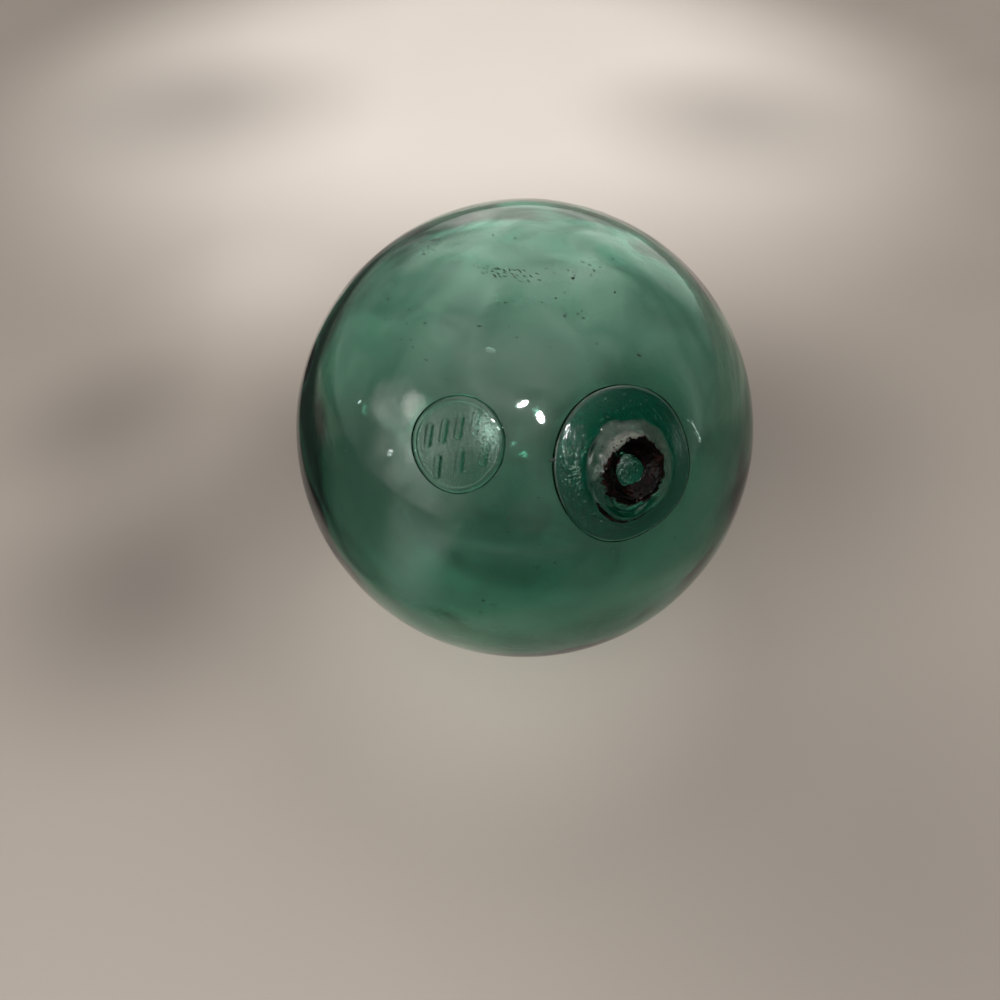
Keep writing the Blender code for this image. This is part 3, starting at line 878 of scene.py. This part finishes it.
def grainTree(name, field, facets, seed, material):   # small lumps where the surface's field is high
    tree, given, out = makeTree(name, {"Per area": 1.0, "Smallest": 0.001, "Largest": 0.002})
    crowded = addMath(tree, "POWER", addField(tree, field), residue["crowding"])
    density = addMath(tree, "MULTIPLY", crowded, given.outputs["Per area"])
    spread = addSpread(tree, given, density, seed)
    lump = addNode(tree, "GeometryNodeMeshUVSphere",
                   {"Radius": 1.0, "Segments": facets[0], "Rings": facets[1]}).outputs["Mesh"]
    size = addRandom(tree, given.outputs["Smallest"], given.outputs["Largest"], seed + 1)
    low = addMath(tree, "MULTIPLY", size, residue["flatter"])
    wide = addMath(tree, "MULTIPLY", size, residue["longer"])
    placed = addCopies(tree, spread.outputs["Points"], lump, spread.outputs["Rotation"], (wide, size, low))
    spin = addNode(tree, "ShaderNodeCombineXYZ", {}, {"Z": addRandom(tree, 0.0, 2 * pi, seed + 2)})
    turned = addNode(tree, "GeometryNodeRotateInstances", {},
                     {"Instances": placed, "Rotation": spin.outputs[0]}).outputs[0]
    endTree(tree, out, turned, material)
    return tree


def finishPiece(name, mesh, material):
    if not mesh.materials:
        mesh.materials.append(material)
    piece = newObject(name, mesh)
    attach(piece, "root")
    print(name + ":", len(mesh.polygons), "faces")


def makeGrains(name, skin, field, perArea, size, facets, seed, material):
    tree = grainTree(name, field, facets, seed, material)
    mesh = runTree(name, skin, tree, {"Per area": perArea, "Smallest": size[0], "Largest": size[1]})
    finishPiece(name, mesh, material)


def makeResidue(skin):
    soot = burntSoot()
    mesh = runTree("soot_crust", skin, sootTree(soot),
                   {"Torn size": residue["tornSize"], "Sink": residue["crustSink"],
                    "Thinnest": residue["crustThick"][0], "Thickest": residue["crustThick"][1],
                    "Lump size": residue["crustLumps"]})
    mesh.shade_smooth()
    finishPiece("soot_crust", mesh, soot)
    makeGrains("soot_grains", skin, "soot", residue["sootPerArea"], residue["sootSize"], (6, 4), 21, soot)
    # pale flecks of painted glint on the pressed faces
    makeGrains("painted_glint_flecks", skin, "paintedGlint", residue["paintedGlintPerArea"], residue["paintedGlintSize"], (4, 2), 36,
               paintedGlintFlecks())
    makeGrains("kiln_grit", skin, "crust", residue["gritPerArea"], residue["gritSize"], (4, 2), 31,
               kilnGrit())


# Wear: dark nicks rubbed together in a patch near the top, stray scratches, and specks burnt into the skin
wear = {
    # patches: azimuth, elevation, half width, half height, marks a square metre, length, width, turn
    "patches": (
        (-16, 77.6, 6.2 * mm, 2.2 * mm, 5.5e5, (0.28 * mm, 0.70 * mm), 0.13 * mm, -22),
        (-44, 76.4, 3.2 * mm, 1.3 * mm, 6.0e5, (0.22 * mm, 0.45 * mm), 0.09 * mm, -15),
        (34, 75.6, 1.5 * mm, 1.1 * mm, 1.3e6, (0.20 * mm, 0.42 * mm), 0.11 * mm, -20),
        (-97, 69.0, 3.4 * mm, 2.6 * mm, 3.0e5, (0.50 * mm, 1.40 * mm), 0.07 * mm, 35),
        (-60, 58.0, 16 * mm, 12 * mm, 2.2e4, (0.20 * mm, 0.48 * mm), 0.12 * mm, 20),
        (30, 70.0, 18 * mm, 12 * mm, 2.0e4, (0.20 * mm, 0.45 * mm), 0.12 * mm, -30),
        (-5, 20.0, 22 * mm, 14 * mm, 1.2e4, (0.16 * mm, 0.36 * mm), 0.11 * mm, 60),
        (70, 40.0, 20 * mm, 16 * mm, 1.0e4, (0.16 * mm, 0.36 * mm), 0.11 * mm, 10),
        (165, 45.0, 40 * mm, 34 * mm, 1.0e4, (0.18 * mm, 0.50 * mm), 0.12 * mm, -40),
        (-140, 10.0, 34 * mm, 30 * mm, 1.0e4, (0.18 * mm, 0.50 * mm), 0.12 * mm, 30),
    ),
    # specks: azimuth, elevation, half length, half width in millimetres, turn
    "specks": (
        (39.1, 54.9, 0.62, 0.26, -50), (-5.0, 28.6, 0.40, 0.22, -35), (-4.9, 25.7, 0.26, 0.18, 0),
        (5.0, 18.6, 0.26, 0.20, 20), (19.4, 12.6, 0.26, 0.20, 0), (33.2, 16.0, 0.28, 0.18, 60),
        (5.2, 40.0, 0.85, 0.36, 15), (33.5, 74.8, 0.42, 0.36, 0), (-23.5, 64.3, 0.62, 0.16, 10),
        # the open edge of a burst bubble, a thin dark crescent
        (53.6, 76.8, 0.60, 0.12, -55), (55.3, 75.4, 0.55, 0.14, -80), (53.2, 74.0, 0.55, 0.12, -115),
        (47.4, 73.6, 0.45, 0.10, -150), (34.9, 77.0, 0.45, 0.12, -60),
        (-100.9, 69.6, 1.30, 0.16, 75), (-88.8, 67.7, 0.80, 0.18, 55), (-95.0, 68.5, 0.60, 0.12, 20),
        (-71.2, 57.9, 0.34, 0.22, 80), (-46.5, 60.4, 0.40, 0.16, 50), (15.1, 71.4, 0.34, 0.18, -20),
        (16.7, 67.2, 0.36, 0.20, -30), (50.0, 67.8, 0.30, 0.22, 0), (74.5, 72.2, 0.34, 0.18, 20),
        (-65.2, 86.8, 0.40, 0.16, 0), (-93.4, 82.6, 0.36, 0.18, 10), (-72.0, 37.5, 0.30, 0.20, 60),
        (2.0, 22.9, 0.26, 0.16, 0), (-10.2, 3.5, 0.34, 0.20, 0), (17.7, 18.9, 0.24, 0.18, 0),
    ),
    "astray": 0.35,   # how far a nick's direction strays from its patch's
    "widthChange": (0.6, 1.4),
    "nickFlatness": 0.5, "speckFlatness": 0.6,   # thickness as shares of width
    "sunk": 0.4,   # share of a speck's thickness below the surface
}


def wearTree(name, length, width, seed, material):
    tree, given, out = makeTree(name, {"Per area": 1.0})
    spread = addSpread(tree, given, given.outputs["Per area"], seed)
    reach = wear["astray"]
    astray = addNode(tree, "FunctionNodeRandomValue", {0: (-reach,) * 3, 1: (reach,) * 3, "Seed": seed + 1},
                     data_type="FLOAT_VECTOR").outputs[0]
    aim = addNode(tree, "ShaderNodeVectorMath", {}, {0: addField(tree, "along", "FLOAT_VECTOR"), 1: astray})
    aligned = addNode(tree, "FunctionNodeAlignRotationToVector", {},
                      {"Rotation": spread.outputs["Rotation"], "Vector": aim.outputs[0]}, axis="X",
                      pivot_axis="Z").outputs[0]
    lump = addNode(tree, "GeometryNodeMeshIcoSphere", {"Radius": 1.0, "Subdivisions": 1}).outputs["Mesh"]
    wide = addRandom(tree, *(width * share for share in wear["widthChange"]), seed + 3)
    thick = addMath(tree, "MULTIPLY", wide, wear["nickFlatness"])
    sizes = (addRandom(tree, *length, seed + 2), wide, thick)
    placed = addCopies(tree, spread.outputs["Points"], lump, aligned, sizes)
    endTree(tree, out, placed, material)
    return tree


def wearPatch(name, azimuth, elevation, halfWidth, halfHeight, turn):   # an oval of the ball's surface
    facing = turnTo(azimuth, elevation)
    across, around = np.meshgrid(np.linspace(0, 1, 7)[1:], np.linspace(0, 2 * pi, 24, endpoint=False))
    x, y = halfWidth * (across * np.cos(around)).ravel(), halfHeight * (across * np.sin(around)).ravel()
    x, y = np.append(x, 0), np.append(y, 0)
    points = np.stack([x, y, ballHeight(x, y)], 1) @ np.array(facing).T + np.array(ballCentre)
    flat = geometry.delaunay_2d_cdt([Vector(p) for p in zip(x, y)], [], [], 0, 1e-9)
    mesh = meshFrom(name, points, [tuple(flat[3][corner][0] for corner in face) for face in flat[2]])
    along = facing @ Vector((cos(radians(turn)), sin(radians(turn)), 0))
    attribute = mesh.attributes.new("along", "FLOAT_VECTOR", "POINT")
    attribute.data.foreach_set("vector", np.tile(np.array(along, dtype=np.float32), len(x)))
    return mesh


def makeWear():
    material = oldDirt()
    joined = bmesh.new()
    for index, patch in enumerate(wear["patches"]):
        azimuth, elevation, halfWidth, halfHeight, perArea, length, width, turn = patch
        surface = wearPatch(f"patch_{index}", azimuth, elevation, halfWidth, halfHeight, turn)
        tree = wearTree(f"nicks_{index}", length, width, 40 + 5 * index, material)
        nicks = runTree(f"nicks_{index}", surface, tree, {"Per area": perArea})
        nicks.materials.clear()
        joined.from_mesh(nicks)
    for azimuth, elevation, long, wide, turn in wear["specks"]:
        halves = (long * mm, wide * mm, wear["speckFlatness"] * wide * mm)
        roundLump(joined, azimuth, elevation, halves, turn, halves[2] * wear["sunk"], inward=False)
    finishPiece("nicks_and_specks", meshOf("nicks_and_specks", joined), material)


def oldDirt():   # dirt packed into nicks and burnt specks: dark green-black, dull
    return newMaterial("dirt_packed_in_nicks", "#14201A", 0.6)[0]


def patchyMaterial(name, roughness, size, first, second, start=0.0, end=1.0):   # two colours in patches
    material, shader = newMaterial(name, first, roughness)
    tree = shader.id_data
    place = addNode(tree, "ShaderNodeTexCoord").outputs["Object"]
    share = addRange(tree, addNoise(tree, size, 2.0, place), start, end)
    blend = addBlend(tree, share, linearColour(first), linearColour(second))
    tree.links.new(blend, shader.inputs["Base Color"])
    return material, shader


def burntSoot():   # soot and iron scale baked on: near black, faintly glazed, rusty in places
    material, shader = patchyMaterial("baked_soot_and_iron_scale", 0.13, 2.2 * mm, "#020101", "#120705",
                                      0.5, 0.7)
    shader.inputs["Specular IOR Level"].default_value = 0.07
    return material


def paintedGlintFlecks():   # painted glints: pale mint flecks on the pressed faces, standing in for their sparkle
    return newMaterial("painted_glints_on_pressed_glass", "#B4DACA", 0.35)[0]


def kilnGrit():   # ash and sand fused to the glass: pale grey, matt
    return patchyMaterial("fused_ash_and_sand", 0.85, 0.9 * mm, "#33342F", "#77786F")[0]


# Hand-blown soda-lime glass, coloured green by its iron: clear and glossy, darker where it is thick
glassLook = {
    "ior": 1.51,
    "tint": "#6AB29B",      # what is left of white light after tintDepth of glass
    "tintDepth": 9.0 * mm,
    "sealTint": "#2E908C",  # the seal's gather is of deeper glass
    "markTint": "#EEFFF8",
    "paintedShadeTint": "#0C120E",  # painted shade in crevices and creases
    "gloss": 0.04, "sootGloss": 0.14, "crustGloss": 0.28, "pressedGloss": 0.20,
    "fireRipple": 0.012 * mm, "fireRippleSize": 0.9 * mm,
    "pressedGrain": 0.32 * mm, "meltedGrain": 0.15 * mm, "grainSize": 0.45 * mm,
}


def seaGlass():
    material, shader = newMaterial("blown_soda_lime_glass")
    tree = shader.id_data
    shader.inputs["IOR"].default_value = glassLook["ior"]
    shader.inputs["Transmission Weight"].default_value = 1
    left = np.array(linearColour(glassLook["tint"])[:3])
    taken = -np.log(left) / glassLook["tintDepth"]
    density = float(taken.max())
    absorption = addNode(tree, "ShaderNodeVolumeAbsorption")
    absorption.inputs["Color"].default_value = (*(1 - taken / density), 1)
    absorption.inputs["Density"].default_value = density
    tree.links.new(absorption.outputs["Volume"], tree.nodes["Material Output"].inputs["Volume"])

    place = addNode(tree, "ShaderNodeTexCoord").outputs["Object"]
    amount = {}
    for name in finishes:
        amount[name] = addNode(tree, "ShaderNodeAttribute", attribute_name=name).outputs["Fac"]
    # the soot's edge is torn by noise
    torn = addNoise(tree, residue["tornSize"], 4.0, place, Roughness=0.65)
    deep = residue["tornDepth"]
    ragged = addMath(tree, "ADD", addMath(tree, "MULTIPLY_ADD", torn, deep, -deep / 2), amount["soot"])
    sooty = addRange(tree, ragged, residue["stainBegins"], residue["stainFull"], kind="SMOOTHSTEP")
    browned = addBlend(tree, torn, linearColour("#060404"), linearColour("#1E0D09"))
    colour = (1, 1, 1, 1)
    # the gathers' deeper tints, then painted shade in crevices and creases
    for name, tint in (("sealGlass", "sealTint"), ("markGlass", "markTint"), ("paintedShade", "paintedShadeTint")):
        colour = addBlend(tree, amount[name], colour, linearColour(glassLook[tint]))
    tree.links.new(addBlend(tree, sooty, colour, browned), shader.inputs["Base Color"])

    dull = glassLook["gloss"]
    for name, source in (("soot", sooty), ("crust", amount["crust"]), ("pressed", amount["pressed"])):
        dull = addMath(tree, "MULTIPLY_ADD", source, glassLook[name + "Gloss"] - glassLook["gloss"], dull)
    tree.links.new(dull, shader.inputs["Roughness"])

    # fire-polished ripples everywhere, and a grain that is deep under the tool and shallow where it melted
    ripple = addNoise(tree, glassLook["fireRippleSize"], 1.0, place)
    grain = addNoise(tree, glassLook["grainSize"], 1.0, place)
    melted = addMath(tree, "MAXIMUM", amount["soot"], amount["crust"])
    melted = addMath(tree, "MULTIPLY", melted, glassLook["meltedGrain"])
    high = addMath(tree, "MULTIPLY_ADD", amount["pressed"], glassLook["pressedGrain"], melted)
    high = addMath(tree, "MULTIPLY", grain, high)
    high = addMath(tree, "MULTIPLY_ADD", ripple, glassLook["fireRipple"], high)
    normal = addNode(tree, "ShaderNodeBump", {"Distance": 1.0}, {"Height": high}).outputs["Normal"]
    tree.links.new(normal, shader.inputs["Normal"])
    return material


makeCamera()
makeStudio()
print("studio: paper, card and", len(studio["lamps"]), "lamps")
outerSkin = makeGlass()
makeResidue(outerSkin)
makeWear()
